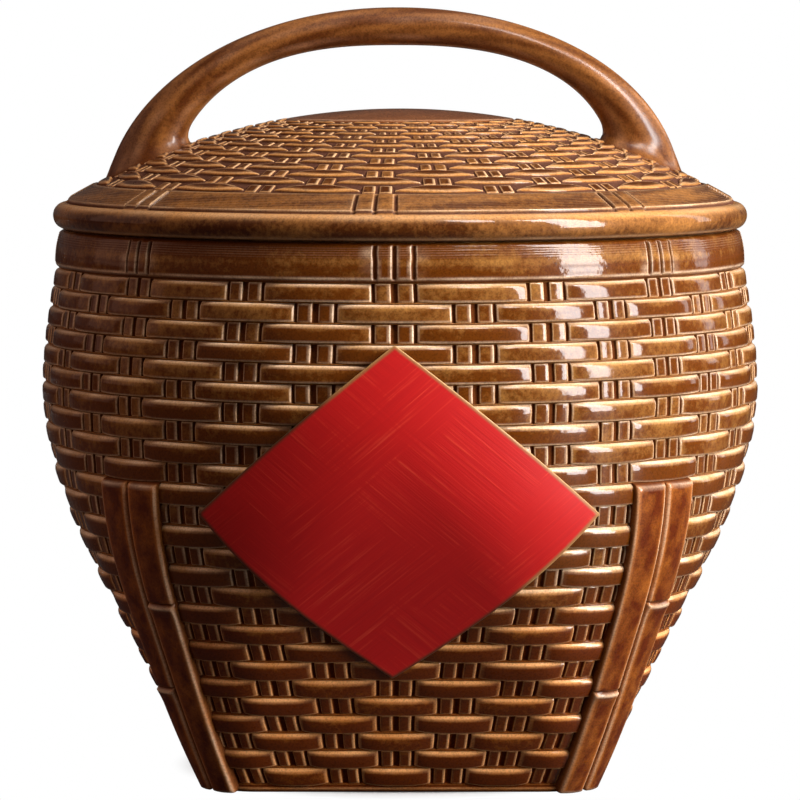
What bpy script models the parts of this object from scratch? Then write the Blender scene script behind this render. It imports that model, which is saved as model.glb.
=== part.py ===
"""Rice storage jar in glazed stoneware, moulded as a woven bamboo basket.

The wall rises from a square base to a round mouth. A weave of flat wefts over
paired staves covers it, four bamboo posts stand at the corners, and a red
diamond lies on the front. The round lid has the same weave and an arched
handle, and lifts off straight up. The front is -Y, and the handle runs along X.
Sizes are in metres, and the origin is the middle of the base's underside.
"""

from math import asin, cos, hypot, pi, radians, sin, sqrt

import bmesh
import bpy

# Jar wall, outside
BASE_HALF = 0.0791  # half the width of the square base
BASE_CORNER = 0.020  # plan radius of the base's corners
BASE_EDGE = 0.003  # rounding between the wall and the underside
FOOT_BAND = 0.0028  # plain band under the lowest weft
STRAIGHT_TOP = 0.0525  # the lower wall is straight up to here
STRAIGHT_HALF = 0.1064  # half width there
BELLY_SWELL = 1.012  # how much faster than the straight wall the belly starts to widen
BELLY_HEIGHT = 0.1609
BELLY_RADIUS = 0.1505
ROUND_HEIGHT = 0.1424  # the wall is round in plan from here up
NECK_RADIUS = 0.1421
NECK_DRAW = 0.15  # how fast the shoulder draws in as it reaches the rim
RIM_HEIGHT = 0.2275
COLLAR_BAND = 0.0155  # plain collar between the top weft and the rim
COLLAR_BULGE = 0.0011
COLLAR_GROOVE = 0.0012

# Jar wall, inside
WALL = 0.008
FLOOR = 0.010
FLOOR_FILLET = 0.012
RIM_ROUNDING = 0.0012

# Weave
WEFT_GROUPS = (  # rows from the top down: how many, and how high against the top ones
    (6, 1.0),
    (7, 1.074),
    (4, 1.01),
    (9, 0.98),
)
STAVES = 32
STAVES_PER_TIE = 4  # every fourth stave crosses the plain bands as a tie
WEAVE_DEPTH = 0.0019  # from a weft's face down to the staves that show beside it
WEFT_GAP = 0.0012  # groove between two wefts
PAIR_WIDTH = 0.0155  # the two slats of a stave, side by side, at the belly
WEAVE_TURN = radians(-0.9)
STAVE_CROWDING = radians(1.06)  # the staves crowd in towards the middle of each side
STAVE_SPREAD = radians(1.98)  # and spread out from the front
STAVE_DRIFT = radians(1.4)  # and both flanks lie a little to the right
TIE_HEIGHT = 0.0008

# Corner posts
POST_TOP = 0.1304
POST_TOP_WIDTH = 0.0335
POST_BASE_WIDTH = 0.0235
POST_THICKNESS = 0.0024
POST_FOOT = 0.0012  # the posts end this far above the ground
LEFT_NODE = 0.0445  # height of the bamboo node on a post's left slat
RIGHT_NODE = 0.0811
NODE_LIP = 0.0008
NODE_LENGTH = 0.005
POST_TOP_STEPS = 5  # stretches of a post above its upper node
FRONT_LEFT_TURN = radians(-1.6)  # that post stands a little further round the side

# Red panel
PANEL_HALF_WIDTH = 0.0797
PANEL_HALF_HEIGHT = 0.0686
PANEL_HEIGHT = 0.1195  # height of its middle
PANEL_TIP_SHIFT = -0.0025  # its upper and lower tips lie to the left of the middle
PANEL_THICKNESS = 0.0018
PANEL_STEPS = 12

# Lid
LID_RADIUS = 0.1458
LID_BEAD = 0.0091  # height of the rolled edge
LID_BEAD_DEPTH = 0.0049
LID_SHOULDER = 0.0023  # from the bead's top up to the edge of the dome
LID_DOME = 0.278  # radius of the dome's sphere
LID_BAND = 0.0125  # plain band inside the bead
LID_BAND_GROOVE = 0.0013
LID_DISC = 0.042  # radius of the plain disc on top
LID_DISC_EDGE = 0.0017  # from the last weft in to the disc's flat
LID_WEFT_ROWS = 14
LID_FINE_ROWS = 8  # outer rows with both edges of each stave
LID_WALL = 0.008
LID_TURN = radians(-3.3)
SPIGOT_DEPTH = 0.008
SPIGOT_WALL = 0.006
SPIGOT_CLEARANCE = 0.0015  # between the spigot and the jar's mouth
SPIGOT_ROUNDING = 0.001

# Handle
HANDLE_REACH = 0.1215  # from the axis to the outside of a foot, at the arch's spring
HANDLE_RISE = 0.083  # from the spring to the top of the arch
HANDLE_GAP_REACH = 0.0935  # the same two sizes for the inside of the arch
HANDLE_GAP_RISE = 0.067
HANDLE_OUTER_EXPONENT = 2.08  # of the arch's outside curve, 2 for a plain ellipse
HANDLE_INNER_EXPONENT = 2.4
HANDLE_TOP_SHIFT = -0.0012  # the handle stands a little to the left of the lid's middle
HANDLE_FOOT_SHIFT = -0.0026
HANDLE_SPRING = 0.0096  # height of the arch's spring above the rim
HANDLE_GRIP_WIDTH = 0.025
HANDLE_FOOT_WIDTH = 0.034
HANDLE_STATIONS = 20

SEAT_GAP = 0.0003  # between two pieces that touch
SHELL_GAP = 0.0004  # the same where both faces are curved
SHARP_ANGLE = radians(35)

# The collar, from the weave up to the rim: a share of its height, and how far it
# stands out.
COLLAR_PROFILE = (
    (0.03, -COLLAR_GROOVE),
    (0.15, -COLLAR_GROOVE / 3),
    (0.5, COLLAR_BULGE),
    (0.75, COLLAR_BULGE / 2),
)

# The lid's plain band, from the bead in to the weave: a share of its width, and
# how far it stands up.
LID_BAND_PROFILE = ((0.1, -LID_BAND_GROOVE), (0.2, 0), (0.9, 0), (0.97, -LID_BAND_GROOVE))

# Where the rings of the lid's inside lie, as shares of its radius.
CROWN_SHARES = (0.3, 0.6, 0.85, 1.0)

# Half of the handle's section, from the top's middle round to the underside's:
# across and through the thickness, as shares of the half sizes.
HANDLE_SECTION = (
    (0.0, 0.88),
    (0.46, 1.0),
    (0.86, 0.62),
    (1.0, 0.0),
    (0.84, -0.62),
    (0.42, -0.95),
    (0.0, -1.0),
)

# A post's outer face: across it, as a share of its half width, and raised, as a
# share of its thickness. Two rounded slats lie beside a groove.
POST_FACE = (
    (-1.0, 0.35),
    (-0.9, 0.85),
    (-0.5, 1.0),
    (-0.1, 0.85),
    (0.0, 0.3),
    (0.1, 0.85),
    (0.5, 1.0),
    (0.9, 0.85),
    (1.0, 0.35),
)

STAVE_STEP = 2 * pi / STAVES
FRONT = -pi / 2
WEAVE_TOP = RIM_HEIGHT - COLLAR_BAND
ROW_SHARES = [share for rows, share in WEFT_GROUPS for _ in range(rows)]
PAIR_SHARE = PAIR_WIDTH / (BELLY_RADIUS * STAVE_STEP) / 2
LID_SEAT = RIM_HEIGHT + SEAT_GAP
BEAD_RADIUS = LID_RADIUS - LID_BEAD_DEPTH
BEAD_MIDDLE = LID_SEAT + LID_BEAD / 2
SPIGOT_RADIUS = NECK_RADIUS - WALL - SPIGOT_CLEARANCE


def ease(start, start_slope, end, end_slope, span, share):
    """A cubic from start to end over span, with the given slopes at its ends."""
    square, cube = share**2, share**3
    return (
        start * (2 * cube - 3 * square + 1)
        + end * (3 * square - 2 * cube)
        + span * start_slope * (cube - 2 * square + share)
        + span * end_slope * (cube - square)
    )


def wall_half(z):
    """Half the jar's width at height z, to the faces of the wefts."""
    slope = (STRAIGHT_HALF - BASE_HALF) / STRAIGHT_TOP
    if z <= STRAIGHT_TOP:
        return BASE_HALF + slope * z
    if z <= BELLY_HEIGHT:
        span = BELLY_HEIGHT - STRAIGHT_TOP
        share = (z - STRAIGHT_TOP) / span
        return ease(STRAIGHT_HALF, slope * BELLY_SWELL, BELLY_RADIUS, 0, span, share)
    span = RIM_HEIGHT - BELLY_HEIGHT
    share = (z - BELLY_HEIGHT) / span
    return ease(BELLY_RADIUS, 0, NECK_RADIUS, -NECK_DRAW, span, share)


def wall_corner(z):
    """The plan radius of the wall's corners at height z: the half width where it is round."""
    start = BASE_CORNER / BASE_HALF
    return wall_half(z) * (start + (1 - start) * min(1, z / ROUND_HEIGHT))


def section_point(half, corner, turn, z):
    """The point of a rounded square at a turn that runs evenly along its outline."""
    face = round(turn / (pi / 2))
    share = (turn - face * pi / 2) / (pi / 4)
    side = 1 if share > 0 else -1
    flat = half - corner
    along = (flat + corner * pi / 4) * abs(share)
    bend = max(0, along - flat) / corner
    out = flat + corner * cos(bend)
    across = side * (min(along, flat) + corner * sin(bend))
    turned = face * pi / 2
    return (
        out * cos(turned) - across * sin(turned),
        out * sin(turned) + across * cos(turned),
        z,
    )


def wall_point(turn, z, raised):
    """The point on the jar's wall at a turn and height, raised outwards from the wefts' faces."""
    return section_point(wall_half(z) + raised, wall_corner(z) + raised, turn, z)


def wall_turn(place):
    """The turn of a place on the jar's weave, counted in staves to the right of the front."""
    even = place * STAVE_STEP
    uneven = STAVE_CROWDING * sin(4 * even) + STAVE_SPREAD * sin(even) + STAVE_DRIFT * sin(even) ** 2
    return FRONT + WEAVE_TURN + even + uneven


def lid_turn(place):
    """The same on the lid, where the staves are even."""
    return FRONT + LID_TURN + place * STAVE_STEP


def stave_turns(turn, fine=True):
    """(stave, turn) all the way round: both edges of each stave, or its middle only."""
    edges = (-PAIR_SHARE, PAIR_SHARE) if fine else (0,)
    return [(stave, turn(stave + edge)) for stave in range(STAVES) for edge in edges]


def weft_bounds(row):
    """The heights of a weft's lower and upper edge, with rows counted from the top."""
    unit = (WEAVE_TOP - FOOT_BAND) / sum(ROW_SHARES)
    high = WEAVE_TOP - unit * sum(ROW_SHARES[:row])
    return high - unit * ROW_SHARES[row] + WEFT_GAP / 2, high - WEFT_GAP / 2


def weave_dip(stave, row):
    """How far the weave lies under the wefts' faces: staves show on alternate rows."""
    return WEAVE_DEPTH if (stave + row) % 2 == 0 else 0


def tied(stave, raised):
    """How far a plain band stands out at a stave: every few staves a tie crosses it."""
    return max(raised, TIE_HEIGHT) if stave % STAVES_PER_TIE == 0 else raised


def outer_rings():
    """Rings of the jar's outside, from the underside to the rim."""
    turns = stave_turns(wall_turn)
    for bend in (0, pi / 4):
        z = BASE_EDGE * (1 - cos(bend))
        drawn_in = BASE_EDGE * (1 - sin(bend))
        yield [wall_point(turn, z, -drawn_in) for _, turn in turns]
    for row in reversed(range(len(ROW_SHARES))):
        for z in weft_bounds(row):
            yield [wall_point(turn, z, -weave_dip(stave, row)) for stave, turn in turns]
    for share, raised in COLLAR_PROFILE:
        z = WEAVE_TOP + share * COLLAR_BAND
        yield [wall_point(turn, z, tied(stave, raised)) for stave, turn in turns]
    yield [wall_point(turn, RIM_HEIGHT - RIM_ROUNDING, 0) for _, turn in turns]
    yield [wall_point(turn, RIM_HEIGHT, -RIM_ROUNDING) for _, turn in turns]


def inner_rings():
    """Rings of the jar's inside, from the rim down to the floor."""
    turns = stave_turns(wall_turn, fine=False)
    yield [wall_point(turn, RIM_HEIGHT, RIM_ROUNDING - WALL) for _, turn in turns]
    floor_top = FLOOR + FLOOR_FILLET
    middle = (BELLY_HEIGHT + STRAIGHT_TOP) / 2
    for z in (
        RIM_HEIGHT - RIM_ROUNDING,
        (RIM_HEIGHT + BELLY_HEIGHT) / 2,
        BELLY_HEIGHT,
        (BELLY_HEIGHT + middle) / 2,
        middle,
        STRAIGHT_TOP,
        floor_top,
    ):
        yield [wall_point(turn, z, -WALL) for _, turn in turns]
    for bend in (pi / 4, pi / 2):
        z = floor_top - FLOOR_FILLET * sin(bend)
        drawn_in = WALL + FLOOR_FILLET * (1 - cos(bend))
        yield [wall_point(turn, z, -drawn_in) for _, turn in turns]


def dome_height(radius):
    """Height of the lid's dome at a radius: its edge stands a little over the bead."""
    edge = LID_SEAT + LID_BEAD + LID_SHOULDER
    return edge + sqrt(LID_DOME**2 - radius**2) - sqrt(LID_DOME**2 - BEAD_RADIUS**2)


def lid_ring(turns, radius, z):
    return [(radius * cos(turn), radius * sin(turn), z) for _, turn in turns]


def lid_weave_rings(fine, coarse):
    """Rings of the lid's concentric weave, from the plain band in to the top disc."""
    outer = BEAD_RADIUS - LID_BAND
    start, end = asin(outer / LID_DOME), asin(LID_DISC / LID_DOME)
    step = (start - end) / LID_WEFT_ROWS
    gap = WEFT_GAP / LID_DOME / 2
    for row in range(LID_WEFT_ROWS):
        turns = fine if row < LID_FINE_ROWS else coarse
        for bend in (start - row * step - gap, start - (row + 1) * step + gap):
            radius = LID_DOME * sin(bend)
            yield [
                (radius * cos(turn), radius * sin(turn), dome_height(radius) - weave_dip(stave, row))
                for stave, turn in turns
            ]


def lid_rings():
    """Rings of the whole lid, from the inside's crown, round the edge, to the top disc."""
    fine = stave_turns(lid_turn)
    coarse = stave_turns(lid_turn, fine=False)
    inside = SPIGOT_RADIUS - SPIGOT_WALL
    for share in CROWN_SHARES:
        radius = share * inside
        yield lid_ring(coarse, radius, dome_height(radius) - LID_WALL)
    bottom = LID_SEAT - SPIGOT_DEPTH
    yield lid_ring(coarse, inside, bottom)
    yield lid_ring(fine, SPIGOT_RADIUS - SPIGOT_ROUNDING, bottom)
    yield lid_ring(fine, SPIGOT_RADIUS, bottom + SPIGOT_ROUNDING)
    yield lid_ring(fine, SPIGOT_RADIUS, LID_SEAT)
    for bend in (-90, -40, 0, 40, 90):
        radius = BEAD_RADIUS + LID_BEAD_DEPTH * cos(radians(bend))
        yield lid_ring(fine, radius, BEAD_MIDDLE + LID_BEAD / 2 * sin(radians(bend)))
    for share, raised in LID_BAND_PROFILE:
        radius = BEAD_RADIUS - share * LID_BAND
        z = dome_height(radius)
        yield [
            (radius * cos(turn), radius * sin(turn), z + tied(stave, raised))
            for stave, turn in fine
        ]
    yield from lid_weave_rings(fine, coarse)
    flat = LID_DISC - LID_DISC_EDGE
    for radius in (flat, flat / 2):
        yield lid_ring(coarse, radius, dome_height(radius))


def post_lip(z, node):
    """How far a slat stands out at height z: a raised lip tops the segment below its node."""
    if node - NODE_LENGTH < z <= node:
        return NODE_LIP * (z - node + NODE_LENGTH) / NODE_LENGTH
    return 0


def post_section(corner, turned, z):
    """A post's closed outline at height z: its outer face, then its back, both along the wall.

    The corner is counted in staves, and the back has its points at that stave's edges.
    """
    step_length = (wall_half(z) - wall_corner(z) * (1 - pi / 4)) / (STAVES / 8)
    width = POST_BASE_WIDTH + (POST_TOP_WIDTH - POST_BASE_WIDTH) * z / POST_TOP
    half = width / 2 / step_length * STAVE_STEP
    middle = FRONT + corner * STAVE_STEP + turned
    points = []
    for across, raised in POST_FACE:
        lip = post_lip(z, LEFT_NODE if across < 0 else RIGHT_NODE) if across else 0
        lifted = SHELL_GAP + POST_THICKNESS * raised + lip
        points.append(wall_point(middle + across * half, z, lifted))
    edges = (wall_turn(corner + PAIR_SHARE), wall_turn(corner - PAIR_SHARE))
    for turn in (middle + half, *edges, middle - half):
        points.append(wall_point(turn, z, SHELL_GAP))
    return points


def post_heights():
    """The heights at which a post's outline is taken: both sides of each node, and the curve."""
    heights = [POST_FOOT]
    for node in sorted((LEFT_NODE, RIGHT_NODE)):
        middle = (heights[-1] + node - NODE_LENGTH) / 2
        heights += [middle, node - NODE_LENGTH, node, node + NODE_LENGTH / 8]
    rest = (POST_TOP - heights[-1]) / POST_TOP_STEPS
    return heights + [heights[-1] + rest * (step + 1) for step in range(POST_TOP_STEPS)]


def panel_point(across, up, raised):
    """A point of the diamond on the jar's front, at shares of its half width and height."""
    x = PANEL_HALF_WIDTH * across + PANEL_TIP_SHIFT * abs(up)
    z = PANEL_HEIGHT + PANEL_HALF_HEIGHT * up
    half = wall_half(z) + raised
    corner = wall_corner(z) + raised
    past = max(0, abs(x) - (half - corner))
    return (x, -(half - corner + sqrt(corner**2 - past**2)), z)


def arch_point(reach, rise, exponent, bend):
    """A point of a squarish arch: x from its middle, and z from its spring."""
    side = 1 if bend < pi / 2 else -1
    power = 2 / exponent
    return side * reach * abs(cos(bend)) ** power, rise * sin(bend) ** power


def handle_point(across, through, bend):
    """A point of the handle's skin, at an angle round the arch and a place in its section."""
    outer = arch_point(HANDLE_REACH, HANDLE_RISE, HANDLE_OUTER_EXPONENT, bend)
    inner = arch_point(HANDLE_GAP_REACH, HANDLE_GAP_RISE, HANDLE_INNER_EXPONENT, bend)
    share = (1 + through) / 2
    shift = HANDLE_FOOT_SHIFT + (HANDLE_TOP_SHIFT - HANDLE_FOOT_SHIFT) * sin(bend)
    x = inner[0] + (outer[0] - inner[0]) * share + shift
    z = inner[1] + (outer[1] - inner[1]) * share + RIM_HEIGHT + HANDLE_SPRING
    flare = (1 - sin(bend)) ** 2
    width = HANDLE_GRIP_WIDTH + (HANDLE_FOOT_WIDTH - HANDLE_GRIP_WIDTH) * flare
    return (x, across * width / 2, z)


def foot_bend(across, through, under):
    """The angle at which one line along the handle comes down on the lid.

    The arch starts at the angle named under, which lies below the lid's face.
    """
    over = pi / 2
    for _ in range(40):
        middle = (under + over) / 2
        x, y, z = handle_point(across, through, middle)
        if z < dome_height(hypot(x, y)) + SHELL_GAP:
            under = middle
        else:
            over = middle
    return over


def handle_rings():
    """Rings of the handle, from one foot to the other. Each line along it starts on the lid."""
    mirrored = [(-across, through) for across, through in HANDLE_SECTION[-2:0:-1]]
    outline = list(HANDLE_SECTION) + mirrored
    ends = [(foot_bend(*place, 0), foot_bend(*place, pi)) for place in outline]
    for station in range(HANDLE_STATIONS + 1):
        share = station / HANDLE_STATIONS
        yield [
            handle_point(*place, first + (last - first) * share)
            for place, (first, last) in zip(outline, ends)
        ]


def foot_centre(ring):
    """The middle of a foot's face, laid on the lid."""
    x = sum(point[0] for point in ring) / len(ring)
    return (x, 0, dome_height(x) + SHELL_GAP)


def bridge(mesh, low, high):
    """Faces between two rings, where the one may have half as many points as the other."""
    count = max(len(low), len(high))
    for index in range(count):
        after = (index + 1) % count
        if len(low) == len(high):
            mesh.faces.new((low[index], low[after], high[after], high[index]))
        elif len(low) > len(high):
            corner, beyond = high[index // 2], high[(index + 1) // 2 % len(high)]
            lower = (low[index], low[after])
            mesh.faces.new(lower + ((corner,) if corner is beyond else (beyond, corner)))
        else:
            corner, beyond = low[index // 2], low[(index + 1) // 2 % len(low)]
            upper = (high[after], high[index])
            mesh.faces.new(upper + ((corner,) if corner is beyond else (corner, beyond)))


def cap(mesh, ring, centre):
    """Closes a ring, flat or with a fan to a middle point."""
    if centre is None:
        mesh.faces.new(ring)
        return
    middle = mesh.verts.new(centre)
    for index, corner in enumerate(ring):
        mesh.faces.new((corner, ring[(index + 1) % len(ring)], middle))


def loft(name, rings, material, parent, first_centre=None, last_centre=None):
    """A closed solid through a row of rings, which all run the same way round."""
    mesh = bmesh.new()
    made = [[mesh.verts.new(point) for point in ring] for ring in rings]
    for low, high in zip(made, made[1:]):
        bridge(mesh, low, high)
    cap(mesh, made[0], first_centre)
    cap(mesh, made[-1], last_centre)
    bmesh.ops.recalc_face_normals(mesh, faces=mesh.faces)
    return finish(name, mesh, material, parent)


def finish(name, mesh, material, parent):
    """Turns a bmesh in world metres into an object under its parent, which sits on an axis."""
    place = parent.matrix_world.inverted()
    bmesh.ops.transform(mesh, matrix=place, verts=mesh.verts)
    data = bpy.data.meshes.new(name)
    mesh.to_mesh(data)
    mesh.free()
    data.materials.append(material)
    data.shade_smooth()
    data.set_sharp_from_angle(angle=SHARP_ANGLE)
    made = bpy.data.objects.new(name, data)
    COLLECTION.objects.link(made)
    made.parent = parent
    return made


def glaze(name, colour, roughness):
    material = bpy.data.materials.new(name)
    material.use_nodes = True
    shader = material.node_tree.nodes["Principled BSDF"]
    shader.inputs["Base Color"].default_value = (*colour, 1)
    shader.inputs["Roughness"].default_value = roughness
    shader.inputs["Metallic"].default_value = 0
    material.diffuse_color = (*colour, 1)
    return material


def axis(name, height):
    """An empty on the jar's axis, which carries a body's pieces."""
    empty = bpy.data.objects.new(name, None)
    empty.location = (0, 0, height)
    empty.empty_display_size = BELLY_RADIUS / 2
    COLLECTION.objects.link(empty)
    bpy.context.view_layer.update()
    return empty


def make_jar_body(parent):
    rings = list(outer_rings()) + list(inner_rings())
    loft("jar_body", rings, glaze("brown_glaze", (0.16, 0.07, 0.025), 0.2), parent)


def make_corner_posts(parent):
    material = glaze("post_glaze", (0.12, 0.05, 0.02), 0.22)
    corners = (("front_right", 0), ("back_right", 0), ("back_left", 0), ("front_left", FRONT_LEFT_TURN))
    for index, (corner, turned) in enumerate(corners):
        place = (index + 0.5) * STAVES / 4
        rings = [post_section(place, turned, z) for z in post_heights()]
        loft(f"corner_post_{corner}", rings, material, parent)


def make_red_panel(parent):
    """A diamond surface laid on the wall and given its thickness outwards."""
    mesh = bmesh.new()
    grid = []
    for row in range(PANEL_STEPS + 1):
        first = row / PANEL_STEPS
        line = []
        for column in range(PANEL_STEPS + 1):
            second = column / PANEL_STEPS
            line.append(mesh.verts.new(panel_point(first - second, first + second - 1, SHELL_GAP)))
        grid.append(line)
    for below, above in zip(grid, grid[1:]):
        for index in range(PANEL_STEPS):
            corners = (below[index + 1], below[index], above[index], above[index + 1])
            mesh.faces.new(corners)
    made = finish("red_panel", mesh, glaze("red_paint", (0.62, 0.02, 0.015), 0.35), parent)
    shell = made.modifiers.new("thickness", "SOLIDIFY")
    shell.thickness = PANEL_THICKNESS
    shell.offset = 1
    shell.use_even_offset = True


def make_lid(parent):
    material = glaze("lid_glaze", (0.17, 0.075, 0.028), 0.2)
    top = (0, 0, dome_height(0))
    under = (0, 0, dome_height(0) - LID_WALL)
    loft("lid", lid_rings(), material, parent, first_centre=under, last_centre=top)


def make_lid_handle(parent):
    rings = list(handle_rings())
    loft(
        "lid_handle",
        rings,
        glaze("handle_glaze", (0.15, 0.065, 0.022), 0.18),
        parent,
        first_centre=foot_centre(rings[0]),
        last_centre=foot_centre(rings[-1]),
    )


for old in list(bpy.data.objects):
    bpy.data.objects.remove(old)
bpy.context.scene.unit_settings.system = "METRIC"
COLLECTION = bpy.data.collections.new("rice_storage_jar")
bpy.context.scene.collection.children.link(COLLECTION)

JAR_AXIS = axis("jar_axis", 0)
make_jar_body(JAR_AXIS)
make_corner_posts(JAR_AXIS)
make_red_panel(JAR_AXIS)

LID_AXIS = axis("lid_lift_axis", LID_SEAT)
make_lid(LID_AXIS)
make_lid_handle(LID_AXIS)
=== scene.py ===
import math
from functools import partial, reduce

import bpy
import numpy as np
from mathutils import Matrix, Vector


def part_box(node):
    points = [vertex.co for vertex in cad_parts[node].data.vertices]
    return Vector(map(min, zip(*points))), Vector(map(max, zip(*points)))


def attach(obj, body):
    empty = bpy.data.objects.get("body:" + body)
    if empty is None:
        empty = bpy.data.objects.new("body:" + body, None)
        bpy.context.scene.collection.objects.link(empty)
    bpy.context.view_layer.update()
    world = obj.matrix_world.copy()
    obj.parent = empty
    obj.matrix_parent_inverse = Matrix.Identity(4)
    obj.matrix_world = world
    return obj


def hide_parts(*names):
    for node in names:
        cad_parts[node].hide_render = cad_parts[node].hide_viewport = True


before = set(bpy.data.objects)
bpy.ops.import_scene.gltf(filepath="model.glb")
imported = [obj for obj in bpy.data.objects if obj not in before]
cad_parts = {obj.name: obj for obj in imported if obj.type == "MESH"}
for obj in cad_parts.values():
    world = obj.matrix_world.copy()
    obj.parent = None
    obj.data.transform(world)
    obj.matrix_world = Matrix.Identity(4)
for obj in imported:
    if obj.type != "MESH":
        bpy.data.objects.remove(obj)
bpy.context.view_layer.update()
print("frame loaded:", ", ".join(sorted(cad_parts)))

front = -math.pi / 2

# Metres. The wall is square at the foot and round from roundHeight up.
wall = {
    "baseHalf": 0.0791,
    "baseCorner": 0.020,
    "straightTop": 0.0525,
    "straightHalf": 0.1064,
    "bellySwell": 1.012,  # how it starts to swell there, over the slope of the straight part
    "bellyHeight": 0.1609,
    "bellyRadius": 0.1505,
    "roundHeight": 0.1424,
    "roundEasing": 0.1,
    "neckRadius": 0.1421,
    "neckDraw": 0.15,  # how steeply it draws in at the rim
    "rimHeight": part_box("jar_body")[1][2],
    "thickness": 0.008,
    "floor": 0.010,
    "floorFillet": 0.012,
    "footEdge": 0.003,
    "rimRounding": 0.0012,
}


def ease(start, startSlope, end, endSlope, span, share):
    square, cube = share**2, share**3
    return (start * (2 * cube - 3 * square + 1) + end * (3 * square - 2 * cube)
            + span * startSlope * (cube - 2 * square + share) + span * endSlope * (cube - square))


def wallHalf(z):
    # half the jar's width across its flats
    slope = (wall["straightHalf"] - wall["baseHalf"]) / wall["straightTop"]
    lower = wall["baseHalf"] + slope * z
    span = wall["bellyHeight"] - wall["straightTop"]
    share = (z - wall["straightTop"]) / span
    belly = ease(wall["straightHalf"], slope * wall["bellySwell"], wall["bellyRadius"], 0, span, share)
    upper = wall["rimHeight"] - wall["bellyHeight"]
    share = (z - wall["bellyHeight"]) / upper
    shoulder = ease(wall["bellyRadius"], 0, wall["neckRadius"], -wall["neckDraw"], upper, share)
    return np.where(z <= wall["straightTop"], lower, np.where(z <= wall["bellyHeight"], belly, shoulder))


def wallCorner(z):
    # the corners open out evenly up to roundHeight, and ease into the full round
    start, easing = wall["baseCorner"] / wall["baseHalf"], wall["roundEasing"]
    share = np.clip(z / wall["roundHeight"], 0, 1 + easing)
    share = share - np.maximum(0, share - 1 + easing) ** 2 / (4 * easing)
    return wallHalf(z) * (start + (1 - start) * share)


def halfSide(z):
    # an eighth of the way round the jar
    return wallHalf(z) - wallCorner(z) * (1 - math.pi / 4)


def wallSlope(z):
    step = 0.0005
    return (wallHalf(z + step) - wallHalf(z - step)) / (2 * step)


def outline(half, corner, turn, z):
    # a point of a rounded square; turn runs evenly along it, and is a plain angle where it is round
    face = np.round(turn / (math.pi / 2))
    share = (turn - face * math.pi / 2) / (math.pi / 4)
    flat = half - corner
    along = (flat + corner * math.pi / 4) * np.abs(share)
    bend = np.maximum(0, along - flat) / corner
    out = flat + corner * np.cos(bend)
    across = np.sign(share) * (np.minimum(along, flat) + corner * np.sin(bend))
    turned = face * math.pi / 2
    x = out * np.cos(turned) - across * np.sin(turned)
    y = out * np.sin(turned) + across * np.cos(turned)
    return np.stack([x, y, z], axis=1)


def onWall(turn, z, raised):
    # a point on the wall, raised square to it
    slope = wallSlope(z)
    lean = 1 / np.sqrt(1 + slope**2)
    half, corner = wallHalf(z) + raised * lean, wallCorner(z) + raised * lean
    return outline(half, corner, turn, z - raised * slope * lean)


def roundedStep(inside, rounding):
    # 0 at and past the edge of a form, rising in a quarter round to 1
    share = np.clip(inside / rounding, 0, 1)
    return np.sqrt(1 - (1 - share) ** 2)


def fade(value, low, high):
    share = np.clip((value - low) / (high - low), 0, 1)
    return share * share * (3 - 2 * share)


def bump(value, middle, width, height=1):
    return height * np.exp(-((value - middle) / width) ** 2)


def within(value, start, full, end, gone):
    # 1 between full and end, and 0 beyond start and gone
    return fade(value, start, full) * (1 - fade(value, end, gone))


def most(*values):
    return reduce(np.maximum, values)


def sway(first, second, seed):
    # slow unevenness of a hand-finished mould, between about -1 and 1
    return (np.sin(first * 1.7 + second * 0.9 + seed) + np.sin(first * 0.61 - second * 2.3 + seed * 2.1)
            + np.sin(first * 3.1 + second * 3.7 - seed * 1.3)) / 3


def glazeMarks(edge, groove, tone, thick):
    # what the glaze does here: breaks pale on an edge, pools in a groove, varies, and lies thick; the pale
    # edge and the thin glaze also carry painted highlights where an edge faces the lamps
    marks = np.zeros((len(tone), 4))
    for index, values in enumerate((edge, groove, tone, thick)):
        marks[:, index] = values
    return np.clip(marks, 0, 1)


def dress(piece, body, slot, material, *nodes):
    piece.data.materials.clear()
    piece.data.materials.append(material)
    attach(piece, body)
    if nodes:
        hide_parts(*nodes)


def addGrid(name, across, down):
    bpy.ops.object.select_all(action="DESELECT")
    bpy.ops.mesh.primitive_grid_add(x_subdivisions=across, y_subdivisions=down, size=1)
    piece = bpy.context.active_object
    piece.name = piece.data.name = name
    return piece


def readPoints(mesh):
    points = np.empty(len(mesh.vertices) * 3)
    mesh.vertices.foreach_get("co", points)
    return points.reshape(-1, 3)


def setMarks(mesh, marks):
    mesh.color_attributes.new("relief", "FLOAT_COLOR", "POINT").data.foreach_set("color", marks.ravel())


def pick(places, share):
    return places[np.round(share * (len(places) - 1)).astype(int)]


def wrapGrid(name, columns, rings, place, *finish):
    # lays a flat grid over a form and dresses it: place gives points and marks for columns and rings
    piece = addGrid(name, len(columns) - 1, len(rings) - 1)
    mesh = piece.data
    flat = readPoints(mesh) + 0.5
    points, marks = place(pick(columns, flat[:, 0]), pick(rings, 1 - flat[:, 1]))
    mesh.vertices.foreach_set("co", points.ravel())
    setMarks(mesh, marks)
    # sews up where the grid meets itself
    bpy.ops.object.mode_set(mode="EDIT")
    bpy.ops.mesh.select_all(action="DESELECT")
    bpy.ops.mesh.select_mode(type="VERT")
    bpy.ops.mesh.select_non_manifold(extend=False)
    bpy.ops.mesh.remove_doubles(threshold=0.000003)
    bpy.ops.object.mode_set(mode="OBJECT")
    bpy.ops.object.shade_smooth()
    dress(piece, *finish)


# Materials

colourMix = {"data_type": "RGBA"}
tintMix = {"data_type": "RGBA", "blend_type": "MULTIPLY"}


def linear(hexColour):
    # sRGB hex to linear
    values = [int(hexColour[i:i + 2], 16) / 255 for i in (1, 3, 5)]
    return [v / 12.92 if v <= 0.04045 else ((v + 0.055) / 1.055) ** 2.4 for v in values] + [1]


def newMaterial(name):
    material = bpy.data.materials.new(name)
    material.use_nodes = True
    return material, material.node_tree, material.node_tree.nodes["Principled BSDF"]


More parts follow.
